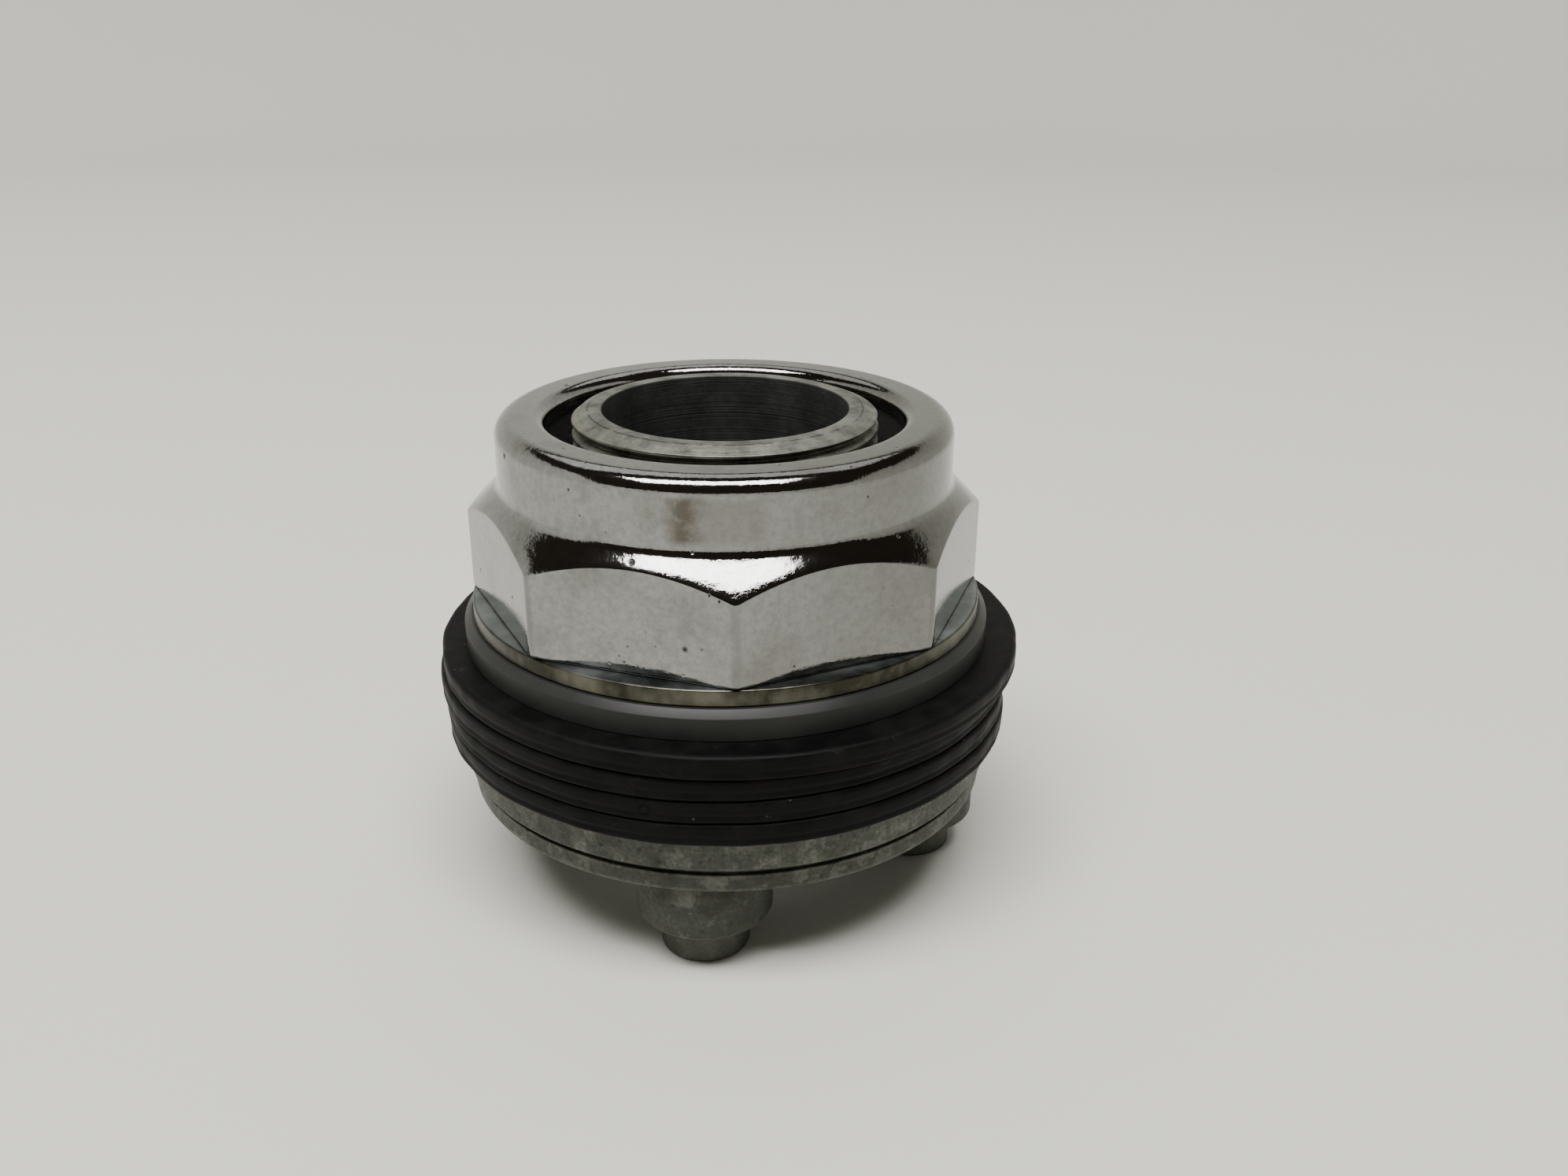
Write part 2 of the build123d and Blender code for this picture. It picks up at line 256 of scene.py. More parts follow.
# %% Chrome finish
def chrome_finish():
    material, tree, shader, place = start_finish("worn_chrome")
    peel = grain(tree, place, 2300, 4, 0.6)
    broad = grain(tree, place, 260, 5)
    blotch = grain(tree, place, 900, 6, 0.7)
    side = add(tree, "ShaderNodeSeparateXYZ", Vector=place).outputs[0]
    radius, height = radius_of(tree, place)
    pits = larger(tree, specks(tree, place, 330, 0.10, 0.17), specks(tree, place, 900, 0.14, 0.08))
    crowded = steps(tree, grain(tree, place, 170, 2), 0.56, 0.64)
    pits = larger(tree, pits, times(tree, specks(tree, place, 1700, 0.22, 0.25), crowded))
    # Painted shade: the right side is tinted darker than the left.
    painted_right_shade = steps(tree, sums(tree, "ADD", side, times(tree, broad, 6 * mm)), 0.0, 12 * mm)
    tint = blend_colour(tree, painted_right_shade, (0.285, 0.285, 0.282, 1), (0.21, 0.208, 0.20, 1))
    tint = blend_colour(tree, steps(tree, broad, 0.5, 0.72, 0.0, 0.7), tint, (0.17, 0.163, 0.15, 1))
    sparkle = steps(tree, grain(tree, place, 2000, 4, 0.75), 0.40, 0.62, 0.0, 0.36)
    tint = blend_colour(tree, sparkle, tint, (0.12, 0.118, 0.11, 1))
    # Painted reflection line: the vertical corners are tinted darker than the flats.
    at_corner = steps(tree, radius, corner_out - 0.12 * mm, corner_out - 0.02 * mm)
    corner = times(tree, at_corner, steps(tree, broad, 0.36, 0.5, 0.5, 1.0))
    tint = blend_colour(tree, times(tree, corner, 0.6), tint, (0.165, 0.163, 0.155, 1))
    # Painted reflection down the collar's front, beside a real brown stain.
    painted_reflection_band, streak = collar_stain_and_reflection(tree, place, blotch)
    tint = blend_colour(tree, times(tree, painted_reflection_band, 0.55), tint, (0.15, 0.145, 0.13, 1))
    tint = blend_colour(tree, times(tree, streak, 0.8), tint, (0.085, 0.07, 0.052, 1))
    # Painted shadow: the bottom edge of the flats is darkened, where the gap under the nut lies in
    # shade.
    uneven = sums(tree, "ADD", height, times(tree, blotch, 0.3 * mm))
    gap_shadow = steps(tree, uneven, gap_shadow_top, gap_shadow_top - 0.1 * mm)
    tint = blend_colour(tree, times(tree, gap_shadow, 0.95), tint, (0.02, 0.018, 0.016, 1))
    tint = blend_colour(tree, pits, tint, (0.03, 0.026, 0.024, 1))
    dull = steps(tree, broad, 0.35, 0.75, 0.035, 0.13)
    dull = larger(tree, dull, times(tree, streak, 0.3))
    dull = larger(tree, dull, times(tree, pits, 0.5))
    dress(tree, shader, tint, dull, metal=1.0)
    fine = raise_bumps(tree, shader, peel, 0.018 * mm, 0.8)
    # Faint marks from the lathe still show through the plating.
    spun = add(tree, "ShaderNodeCombineXYZ", X=radius, Y=height, Z=side).outputs[0]
    drawn = add(tree, "ShaderNodeMapping", Vector=spun, Scale=(9.0, 9.0, 0.25)).outputs[0]
    faint = steps(tree, grain(tree, spun, 1100, 3), 0.48, 0.6)
    marks = times(tree, grain(tree, drawn, 800, 2), faint)
    marked = raise_bumps(tree, shader, marks, 0.006 * mm, 0.6, under=fine)
    raise_bumps(tree, shader, sums(tree, "SUBTRACT", 1.0, pits), 0.04 * mm, 0.8, under=marked)
    return material


chrome = chrome_finish()
print("finish", chrome.name)

# %% [markdown]
# ### Zinc plate and turned metal
#
# The washer is bright zinc with a bluish top and a yellow tint on its edge. The sleeve is duller,
# with circular marks from the lathe. Rings round the axis come from a noise that reads only the
# radius and the height, so it can't change round the circle.

# %% Sizes that these finishes follow
washer_r = 18.8 * mm
mouth_r = 8.85 * mm
flat_r = mouth_r + 0.95 * mm
print("sleeve's flat end is", round((flat_r - mouth_r) / mm, 2), "mm wide")

# %% Washer finish
def washer_finish():
    material, tree, shader, place = start_finish("bright_zinc")
    radius, height = radius_of(tree, place)
    rings = add(tree, "ShaderNodeCombineXYZ", X=radius, Y=height)
    lathe = grain(tree, rings.outputs[0], 5200, 2)
    cloud = grain(tree, place, 330, 5)
    top = blend_colour(tree, steps(tree, cloud, 0.35, 0.7),
                       (0.24, 0.275, 0.27, 1), (0.44, 0.48, 0.475, 1))
    edge = blend_colour(tree, steps(tree, cloud, 0.4, 0.65),
                        (0.032, 0.030, 0.022, 1), (0.125, 0.121, 0.097, 1))
    at_edge = steps(tree, radius, washer_r - 0.18 * mm, washer_r - 0.08 * mm)
    spots = specks(tree, place, 700, 0.2, 0.2)
    colour = blend_colour(tree, at_edge, top, edge)
    colour = blend_colour(tree, times(tree, spots, 0.6), colour, (0.12, 0.10, 0.08, 1))
    dress(tree, shader, colour, steps(tree, cloud, 0.3, 0.7, 0.24, 0.42), metal=1.0)
    raise_bumps(tree, shader, lathe, 0.012 * mm, 0.6)
    return material


bright_zinc = washer_finish()
print("finish", bright_zinc.name)

# %% Sleeve finish
def sleeve_finish():
    material, tree, shader, place = start_finish("turned_zinc")
    radius, height = radius_of(tree, place)
    rings = add(tree, "ShaderNodeCombineXYZ", X=radius, Y=height)
    lathe = grain(tree, rings.outputs[0], 9000, 2)
    cloud = grain(tree, place, 520, 7, 0.7)
    colour = blend_colour(tree, steps(tree, cloud, 0.36, 0.62),
                          (0.075, 0.078, 0.064, 1), (0.22, 0.226, 0.20, 1))
    # Yellow tint along the chamfer's lathe lines, with painted glints in it.
    on_chamfer = steps(tree, radius, flat_r + 0.15 * mm, flat_r + 0.3 * mm)
    gold_tint_and_glints = times(tree, steps(tree, lathe, 0.5, 0.6), on_chamfer)
    gold_tint_and_glints = times(tree, gold_tint_and_glints, steps(tree, cloud, 0.42, 0.55))
    colour = blend_colour(tree, times(tree, gold_tint_and_glints, 0.7), colour, (0.27, 0.25, 0.14, 1))
    # The tool left a dark line where the flat end meets the chamfer.
    ring_line = steps(tree, away_from(tree, radius, flat_r + 0.06 * mm), 0.09 * mm, 0.03 * mm)
    ring_line = times(tree, ring_line, steps(tree, cloud, 0.58, 0.46))
    colour = blend_colour(tree, times(tree, ring_line, 0.8), colour, (0.02, 0.02, 0.016, 1))
    # The bore's wall is much darker, rougher and not metallic.
    inside = steps(tree, radius, mouth_r + 0.1 * mm, mouth_r + 0.02 * mm)
    dark_bore_colour = blend_colour(tree, steps(tree, cloud, 0.40, 0.62),
                           (0.007, 0.008, 0.0075, 1), (0.021, 0.0225, 0.021, 1))
    colour = blend_colour(tree, inside, colour, dark_bore_colour)
    dull = steps(tree, inside, 0.0, 1.0, 0.50, 0.65)
    dress(tree, shader, colour, dull, metal=steps(tree, inside, 0.0, 1.0, 0.8, 0.0))
    dents = grain(tree, place, 1500, 4, 0.6)
    rough_rings = raise_bumps(tree, shader, lathe, 0.05 * mm, 0.8)
    raise_bumps(tree, shader, dents, 0.05 * mm, 0.6, under=rough_rings)
    return material


turned_zinc = sleeve_finish()
print("finish", turned_zinc.name)

# %% [markdown]
# ### Die-cast zinc
#
# Old bare zinc goes dull and mottled: light and dark clouds, black specks in the pores, and
# paler lower edges, from wear and a painted highlight. Its roughness is high everywhere, so it
# takes light softly.

# %% Sizes that the casting finish follows
base_z, pin_h = 7.2 * mm, 3.1 * mm
lower_r, neck_bore, floor_z = 19.65 * mm, 13.0 * mm, 10.0 * mm
groove_top = deck_z - 2.65 * mm
groove_low = groove_top - 0.45 * mm
print("edge groove from", round(groove_low / mm, 2), "to", round(groove_top / mm, 2), "mm")

# %% Worn places on the casting, with a painted highlight on its lower edges
def casting_wear_and_edge_light(tree, radius, height, cloud, bloom):
    """Where the lower edges are paler, from wear and a painted highlight, and where the finish has
    flaked beside them.
    """
    near_rim = steps(tree, radius, lower_r - 0.2 * mm, lower_r - 0.05 * mm)
    rim = times(tree, near_rim, steps(tree, height, groove_low + 0.3 * mm, groove_low - 0.05 * mm))
    upper = steps(tree, height, groove_low - 0.3 * mm, groove_low - 0.05 * mm)
    lower = steps(tree, height, base_z + 0.45 * mm, base_z + 0.2 * mm)
    worn_and_lit_edges = times(tree, rim, larger(tree, upper, lower))
    worn_and_lit_edges = times(tree, worn_and_lit_edges, steps(tree, cloud, 0.40, 0.55))
    near_lip = steps(tree, radius, lower_r - 0.75 * mm, lower_r - 0.55 * mm)
    below = steps(tree, height, groove_low + 0.1 * mm, groove_low - 0.05 * mm)
    on_lip = times(tree, near_lip, below)
    return worn_and_lit_edges, times(tree, on_lip, steps(tree, bloom, 0.52, 0.56))


# %% Casting finish
def casting_finish():
    material, tree, shader, place = start_finish("die_cast_zinc")
    cloud = grain(tree, place, 560, 9, 0.78)
    moved = add(tree, "ShaderNodeMapping", Vector=place, Location=(0.03, 0.01, 0.02)).outputs[0]
    bloom = grain(tree, moved, 520, 7, 0.65)
    fine = grain(tree, place, 3600, 4, 0.7)
    radius, height = radius_of(tree, place)
    colour = blend_colour(tree, steps(tree, cloud, 0.36, 0.62),
                          (0.026, 0.029, 0.021, 1), (0.086, 0.091, 0.074, 1))
    pale = steps(tree, bloom, 0.54, 0.70, 0.0, 0.6)
    colour = blend_colour(tree, pale, colour, (0.22, 0.225, 0.20, 1))
    dark = steps(tree, fine, 0.42, 0.60, 0.0, 0.45)
    colour = blend_colour(tree, dark, colour, (0.030, 0.032, 0.025, 1))
    pores = larger(tree, specks(tree, place, 1500, 0.3, 0.2), specks(tree, place, 620, 0.12, 0.12))
    pores = times(tree, pores, steps(tree, bloom, 0.36, 0.48))
    colour = blend_colour(tree, times(tree, pores, 0.75), colour, (0.012, 0.012, 0.010, 1))
    worn_and_lit_edges, flaked = casting_wear_and_edge_light(tree, radius, height, cloud, bloom)
    # Wear and painted highlight: the lower edges are paler.
    colour = blend_colour(tree, times(tree, worn_and_lit_edges, 0.6), colour, (0.21, 0.213, 0.18, 1))
    # Painted shade in the groove, and the casting below it is darker.
    groove_shade_and_below = steps(tree, height, groove_top, groove_low + 0.05 * mm, 0.0, 0.5)
    colour = blend_colour(tree, groove_shade_and_below, colour, (0.022, 0.024, 0.018, 1))
    colour = blend_colour(tree, times(tree, flaked, 0.3), colour, (0.13, 0.134, 0.11, 1))
    # Inside the neck the casting was never exposed, and is even in colour.
    in_neck = steps(tree, radius, neck_bore + 0.4 * mm, neck_bore + 0.2 * mm)
    within = times(tree, in_neck, steps(tree, height, floor_z - 1.0 * mm, floor_z - 0.5 * mm))
    colour = blend_colour(tree, within, colour, (0.075, 0.075, 0.07, 1))
    # Painted light: the thin ends of the posts are a little paler, to lift the shade they stand in.
    painted_pin_light = steps(tree, height, pin_h + 0.2 * mm, pin_h - 0.2 * mm)
    colour = blend_colour(tree, times(tree, painted_pin_light, 0.12), colour, (0.19, 0.193, 0.165, 1))
    dress(tree, shader, colour, steps(tree, fine, 0.3, 0.7, 0.42, 0.62), metal=0.6)
    lumps = sums(tree, "ADD", fine, times(tree, cloud, 1.5))
    low = raise_bumps(tree, shader, lumps, 0.06 * mm, 0.6)
    raise_bumps(tree, shader, sums(tree, "SUBTRACT", 1.0, pores), 0.06 * mm, 0.7, under=low)
    return material


cast_zinc = casting_finish()
print("finish", cast_zinc.name)

# %% [markdown]
# ### Rubber and plastic
#
# The gaskets are black rubber with pale dust caught on them. The ring above them is moulded
# plastic: dark grey, satin, with a barely visible grain.

# %% Rubber and plastic finishes
def rubber_finish():
    material, tree, shader, place = start_finish("black_rubber")
    cloud = grain(tree, place, 500, 5)
    dust = larger(tree, specks(tree, place, 1300, 0.11, 0.10), specks(tree, place, 420, 0.08, 0.14))
    # Fibres: thin threads where a stretched noise passes through its middle value.
    drawn = add(tree, "ShaderNodeMapping", Vector=place, Scale=(1.0, 1.0, 2.6)).outputs[0]
    thread = steps(tree, away_from(tree, grain(tree, drawn, 420, 1), 0.5), 0.012, 0.004)
    here = steps(tree, grain(tree, place, 210, 2), 0.60, 0.70, 0.0, 0.4)
    dust = larger(tree, dust, times(tree, thread, here))
    colour = blend_colour(tree, steps(tree, cloud, 0.4, 0.75),
                          (0.0022, 0.0022, 0.0022, 1), (0.0060, 0.0060, 0.0056, 1))
    colour = blend_colour(tree, times(tree, dust, 0.55), colour, (0.10, 0.098, 0.088, 1))
    # Two small round marks are left by the mould's ejector pins.
    for centre in ((19.0 * mm, -10.35 * mm, deck_z + 6.1 * mm),
                   (-5.45 * mm, -20.6 * mm, deck_z + 2.6 * mm)):
        off = add(tree, "ShaderNodeVectorMath", {"operation": "DISTANCE"},
                  Input_0=place, Input_1=centre)
        mark = steps(tree, away_from(tree, off.outputs["Value"], 0.36 * mm), 0.16 * mm, 0.06 * mm)
        colour = blend_colour(tree, times(tree, mark, 0.8), colour, (0.0006, 0.0006, 0.0006, 1))
    dress(tree, shader, colour, steps(tree, cloud, 0.3, 0.7, 0.42, 0.6))
    shader.inputs["Specular IOR Level"].default_value = 0.07
    raise_bumps(tree, shader, grain(tree, place, 2200, 3), 0.02 * mm, 0.5)
    return material


def plastic_finish():
    material, tree, shader, place = start_finish("satin_grey_plastic")
    cloud = grain(tree, place, 160, 4)
    colour = blend_colour(tree, steps(tree, cloud, 0.35, 0.7),
                          (0.012, 0.0125, 0.0115, 1), (0.021, 0.0215, 0.0195, 1))
    dress(tree, shader, colour, steps(tree, cloud, 0.3, 0.7, 0.36, 0.5))
    shader.inputs["Specular IOR Level"].default_value = 0.24
    raise_bumps(tree, shader, grain(tree, place, 3000, 3), 0.008 * mm, 0.5)
    return material


black_rubber = rubber_finish()
grey_plastic = plastic_finish()
print("finishes", black_rubber.name, grey_plastic.name)

# %% [markdown]
# ### Small metal inside the neck
#
# The brass bushing, the blackened retainer and snap ring and the bright spring are only seen
# from above through the nut's mouth, or when the nut is off. One function gives all three
# finishes, because they differ only in colour and roughness.

# %% Finishes of the small metal pieces
def small_metal(name, dark, light, rough):
    material, tree, shader, place = start_finish(name)
    cloud = grain(tree, place, 700, 5)
    colour = blend_colour(tree, steps(tree, cloud, 0.35, 0.7), dark, light)
    dress(tree, shader, colour, steps(tree, cloud, 0.3, 0.7, rough, rough + 0.15), metal=1.0)
    raise_bumps(tree, shader, grain(tree, place, 4000, 2), 0.01 * mm, 0.5)
    return material


brass = small_metal("turned_brass", (0.50, 0.36, 0.14, 1), (0.68, 0.52, 0.25, 1), 0.25)
blackened = small_metal("blackened_steel", (0.03, 0.03, 0.03, 1), (0.07, 0.07, 0.068, 1), 0.4)
bright_wire = small_metal("bright_steel", (0.45, 0.45, 0.44, 1), (0.6, 0.6, 0.58, 1), 0.22)
print("finishes", brass.name, blackened.name, bright_wire.name)

# %% [markdown]
# ## Turned shapes
#
# Nearly every piece was turned on a lathe or moulded round an axis. A profile of a few corners
# is enough to describe one: the corners are rounded a little, as every real edge is, and the
# profile is swept round the axis as rings of points. Because each piece has a hole through it, its
# profile is a closed loop and the skin closes on itself like a doughnut, with no poles to fix.

# %% Helpers for turned shapes
def soften(corners, radii, arc=4):
    """Rounds the corners of a closed profile. radii is one number or one for each corner."""
    count = len(corners)
    if isinstance(radii, (int, float)):
        radii = [radii] * count
    points = []
    for i, radius in enumerate(radii):
        here = Vector(corners[i])
        inward, outward = Vector(corners[i - 1]) - here, Vector(corners[(i + 1) % count]) - here
        if radius <= 0:
            points.append(tuple(here))
            continue
        half = inward.angle(outward) / 2
        cut = min(radius / math.tan(half), 0.45 * inward.length, 0.45 * outward.length)
        start, end = here + inward.normalized() * cut, here + outward.normalized() * cut
        for k in range(arc + 1):
            t = k / arc
            points.append(tuple((1 - t) ** 2 * start + 2 * t * (1 - t) * here + t * t * end))
    return points


def close_skin(name, rings):
    """A closed skin through rings of points; the last ring joins the first."""
    around = len(rings[0])
    points = [p for ring in rings for p in ring]
    faces = []
    for i in range(len(rings)):
        below, above = i * around, (i + 1) % len(rings) * around
        for k in range(around):
            n = (k + 1) % around
            faces.append((below + k, below + n, above + n, above + k))
    mesh = bpy.data.meshes.new(name)
    mesh.from_pydata(points, [], faces)
    bm = bmesh.new()
    bm.from_mesh(mesh)
    bmesh.ops.recalc_face_normals(bm, faces=bm.faces)
    bm.to_mesh(mesh)
    bm.free()
    mesh.polygons.foreach_set("use_smooth", [True] * len(mesh.polygons))
    piece = bpy.data.objects.new(name, mesh)
    bpy.context.collection.objects.link(piece)
    return piece


def turned(name, profile, around=256):
    """A profile of (radius, height) points in metres, turned round the axis."""
    rings = []
    for radius, height in profile:
        ring = [(radius * math.cos(a), radius * math.sin(a), height)
                for a in (math.tau * k / around for k in range(around))]
        rings.append(ring)
    return close_skin(name, rings)


def settle(piece, body, finish, *nodes):
    """Gives a piece its finish and its body, hides the solids it replaces, and keeps flat faces
    flat.
    """
    piece.data.materials.clear()
    piece.data.materials.append(finish)
    steady = piece.modifiers.new("flat faces stay flat", "WEIGHTED_NORMAL")
    steady.keep_sharp = True
    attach(piece, body)
    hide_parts(*nodes)
    print(piece.name, len(piece.data.polygons), "faces, rides on", body)


# %% [markdown]
# ## Ring nut
#
# The nut is eight-sided below and round above. A 45 degree cone joins the two, and where it
# meets the flats it leaves the curved edges that every chamfered nut has. Each ring of points
# follows the octagon, with small arcs at its corners, and moves up the cone to the round
# collar. That keeps rows of faces along every edge, so the chrome reflects cleanly.

# %% Nut section
def octagon(across, corner, turn, per_flat=26, per_corner=4):
    """Points of an octagon with rounded corners, from across flats, corner radius and turn."""
    def towards(angle, length):
        return Vector((math.cos(angle), math.sin(angle))) * length

    hub_r = across / 2 / math.cos(half_side) - corner / math.cos(half_side)
    points = []
    for side in range(8):
        a = turn + side * 2 * half_side
        hub, next_hub = towards(a, hub_r), towards(a + 2 * half_side, hub_r)
        for k in range(per_corner):
            points.append(hub + towards(a + half_side * (2 * k / per_corner - 1), corner))
        # Each flat runs from this corner's arc to the next one's.
        out = towards(a + half_side, corner)
        points += [(hub + out).lerp(next_hub + out, k / per_flat) for k in range(per_flat)]
    return points


nut_turn = math.radians(-88.5)
section = octagon(flats, corner_soft, nut_turn)
print("nut section has", len(section), "points, corner radius", round(corner_out / mm, 2), "mm")

# %% Nut skin
collar_r, collar_z = 16.45 * mm, nut_z + 8.35 * mm
root, crown = 0.45 * mm, 1.3 * mm
root_out = 0.7 * root
lip_r, lip_t, lip_soft = 12.8 * mm, 1.35 * mm, 0.9 * mm
bore_r, edge_break = 15.05 * mm, 0.1 * mm


def nut_rings(bore_rows=90):
    """Rings from the underside, up the flats, over the cone and collar, and down the bore."""
    rings = []

    def octo(height_of, inset=0.0):
        rings.append([(p.x * (1 - inset / p.length), p.y * (1 - inset / p.length),
                       height_of(p.length)) for p in section])

    def round_ring(radius, height):
        rings.append([(p.x / p.length * radius, p.y / p.length * radius, height) for p in section])

    def cone_z(r):
        return collar_z - (r - collar_r)

    soft = 0.16 * mm
    octo(lambda r: nut_z, soft)
    octo(lambda r: nut_z + 0.3 * soft, 0.3 * soft)
    octo(lambda r: nut_z + soft)
    for share in (0.35, 0.7, 1.0):
        octo(lambda r: nut_z + soft + (cone_z(r) - soft - nut_z - soft) * share)
    octo(lambda r: cone_z(r) - 0.35 * soft, 0.06 * soft)
    octo(lambda r: cone_z(r) - 0.05 * soft, 0.22 * soft)
    octo(lambda r: cone_z(r) + 0.35 * soft, 0.55 * soft)
    for share in (0.0, 0.35, 0.7, 1.0):
        ring = []
        for p in section:
            outer = p.length - soft
            radius = outer + (collar_r + root_out - outer) * share
            ring.append((p.x / p.length * radius, p.y / p.length * radius, cone_z(radius)))
        rings.append(ring)
    for k in range(1, 6):
        t = k / 5
        flare = root_out * (1 - t) ** 2
        round_ring(collar_r + flare, collar_z - flare + root * t * t)
    for share in (0.3, 0.65, 1.0):
        round_ring(collar_r, collar_z + root + (lip_z - crown - collar_z - root) * share)
    for k in range(1, 15):
        a = k / 14 * math.pi / 2
        round_ring(collar_r - crown * (1 - math.cos(a)), lip_z - crown * (1 - math.sin(a)))
    for k in range(11):
        a = k / 10 * math.pi / 2
        round_ring(lip_r + lip_soft * (1 - math.sin(a)), lip_z - lip_soft * (1 - math.cos(a)))
    bore_top, bore_low = lip_z - lip_t - edge_break, nut_z + 0.5 * mm
    round_ring(lip_r, lip_z - lip_t + edge_break)
    round_ring(lip_r, lip_z - lip_t)
    round_ring(bore_r, lip_z - lip_t)
    for k in range(bore_rows):
        round_ring(bore_r, bore_top + (bore_low - bore_top) * k / bore_rows)
    round_ring(bore_r + 0.4 * mm, nut_z)
    return rings


nut = close_skin("chromed_ring_nut", nut_rings())
settle(nut, "nut", chrome, "ring_nut")

# %% [markdown]
# ## Rings on the neck
#
# The gaskets and the washer follow one rule: a section carried round a circle. Geometry Nodes do
# that with a circle, a filleted rectangle and Curve to Mesh, and one function builds the tree
# for both. A gasket's section also has a shallow moulded line, and a slow noise draws the
# gasket in by about a tenth of a millimetre, because soft rubber never lies perfectly round.

# %% Helpers for Geometry Nodes
def start_tree(name, *labels, **kinds):
    """A new tree with named inputs: labels are plain numbers, kinds says what the others are."""
    tree = bpy.data.node_groups.new(name, "GeometryNodeTree")
    for label, kind in (*kinds.items(), *((label, "Float") for label in labels)):
        tree.interface.new_socket(label, in_out="INPUT", socket_type="NodeSocket" + kind)
    tree.interface.new_socket("Piece", in_out="OUTPUT", socket_type="NodeSocketGeometry")
    return tree, tree.nodes.new("NodeGroupInput").outputs


def end_tree(tree, shape, finish):
    """Makes any instances real and sets the material, which every tree here ends in."""
    real = add(tree, "GeometryNodeRealizeInstances", Geometry=shape)
    painted = add(tree, "GeometryNodeSetMaterial", Geometry=real.outputs[0], Material=finish)
    tree.links.new(painted.outputs[0], tree.nodes.new("NodeGroupOutput").inputs[0])
    return tree


def point_of(tree):
    """Where each point is now."""
    return tree.nodes.new("GeometryNodeInputPosition").outputs[0]


def run_tree(piece, tree, **values):
    """Runs a tree once on a piece and leaves it a plain mesh, with no modifier."""
    run = piece.modifiers.new("shape", "NODES")
    run.node_group = tree
    for socket in tree.interface.items_tree:
        key = socket.name.replace(" ", "_")
        if socket.in_out == "INPUT" and key in values:
            run[socket.identifier] = values[key]
    shape = piece.evaluated_get(bpy.context.evaluated_depsgraph_get())
    mesh = bpy.data.meshes.new_from_object(shape)
    piece.modifiers.clear()
    piece.data = mesh


def grow(name, tree, **values):
    """A new piece made by a tree alone."""
    piece = bpy.data.objects.new(name, bpy.data.meshes.new(name))
    bpy.context.collection.objects.link(piece)
    run_tree(piece, tree, **values)
    piece.data.name = name
    return piece


# %% Moulded line and waviness of a gasket
def press_line(tree, outline, given, width, fineness):
    """Presses a shallow line into both sides of an outline; only the outer one is seen."""
    fine = add(tree, "GeometryNodeResampleCurve", Curve=outline, Count=fineness)
    across, up, _ = add(tree, "ShaderNodeSeparateXYZ", Vector=point_of(tree)).outputs
    line = sums(tree, "SUBTRACT", times(tree, given["Thickness"], 0.5), given["Line Drop"])
    notch = steps(tree, away_from(tree, up, line), 0.28 * mm, 0.0)
    at_side = sums(tree, "GREATER_THAN", sums(tree, "ABSOLUTE", across), times(tree, width, 0.45))
    outwards = times(tree, sums(tree, "SIGN", across), times(tree, notch, given["Line Depth"]))
    push = add(tree, "ShaderNodeCombineXYZ", X=times(tree, outwards, -1.0))
    pressed = add(tree, "GeometryNodeSetPosition", Geometry=fine.outputs[0],
                  Selection=at_side, Offset=push.outputs[0])
    return pressed.outputs[0]


def wave(tree, shape, given):
    """Draws a ring in here and there; its height is added so that no two rings wave alike."""
    spot = point_of(tree)
    level = add(tree, "ShaderNodeCombineXYZ", Z=given["Height"])
    at = add(tree, "ShaderNodeVectorMath", {"operation": "ADD"},
             Input_0=spot, Input_1=level.outputs[0])
    ripple = add(tree, "ShaderNodeTexNoise", Vector=at.outputs[0], Scale=190.0, Detail=3.0)
    sag = times(tree, steps(tree, ripple.outputs["Fac"], 0.35, 0.65), given["Waviness"])
    shrink = sums(tree, "SUBTRACT", 1.0, sums(tree, "DIVIDE", sag, given["Outer Radius"]))
    flat = add(tree, "ShaderNodeCombineXYZ", X=shrink, Y=shrink, Z=1.0)
    drawn_in = add(tree, "ShaderNodeVectorMath", {"operation": "MULTIPLY"},
                   Input_0=spot, Input_1=flat.outputs[0])
    return add(tree, "GeometryNodeSetPosition", Geometry=shape, Position=drawn_in.outputs[0])


# %% Geometry Nodes tree of a rounded ring
def ring_tree(name, finish, fineness=0):
    """Rounded ring with named sizes; fineness is the outline's points, for a moulded line."""
    tree, given = start_tree(name, "Inner Radius", "Outer Radius", "Thickness", "Edge", "Height",
                             "Shift", "Line Depth", "Line Drop", "Waviness")
    middle = times(tree, sums(tree, "ADD", given["Inner Radius"], given["Outer Radius"]), 0.5)
    width = sums(tree, "SUBTRACT", given["Outer Radius"], given["Inner Radius"])
    path = add(tree, "GeometryNodeCurvePrimitiveCircle", Resolution=256, Radius=middle)
    level = add(tree, "GeometryNodeSetCurveNormal", {"mode": "Z_UP"}, Curve=path.outputs[0])
    section = add(tree, "GeometryNodeCurvePrimitiveQuadrilateral",
                  Width=width, Height=given["Thickness"])
    rounding = add(tree, "GeometryNodeFilletCurve", {"mode": "POLY"},
                   Curve=section.outputs[0], Radius=given["Edge"], Count=5)
    outline = rounding.outputs[0]
    if fineness:
        outline = press_line(tree, outline, given, width, fineness)
    body = add(tree, "GeometryNodeCurveToMesh", Curve=level.outputs[0], Profile_Curve=outline)
    waved = wave(tree, body.outputs[0], given)
    lift = sums(tree, "ADD", given["Height"], times(tree, given["Thickness"], 0.5))
    offset = add(tree, "ShaderNodeCombineXYZ", X=given["Shift"], Z=lift)
    moved = add(tree, "GeometryNodeTransform",
                Geometry=waved.outputs[0], Translation=offset.outputs[0])
    smooth = add(tree, "GeometryNodeSetShadeSmooth", Geometry=moved.outputs[0])
    return end_tree(tree, smooth.outputs[0], finish)


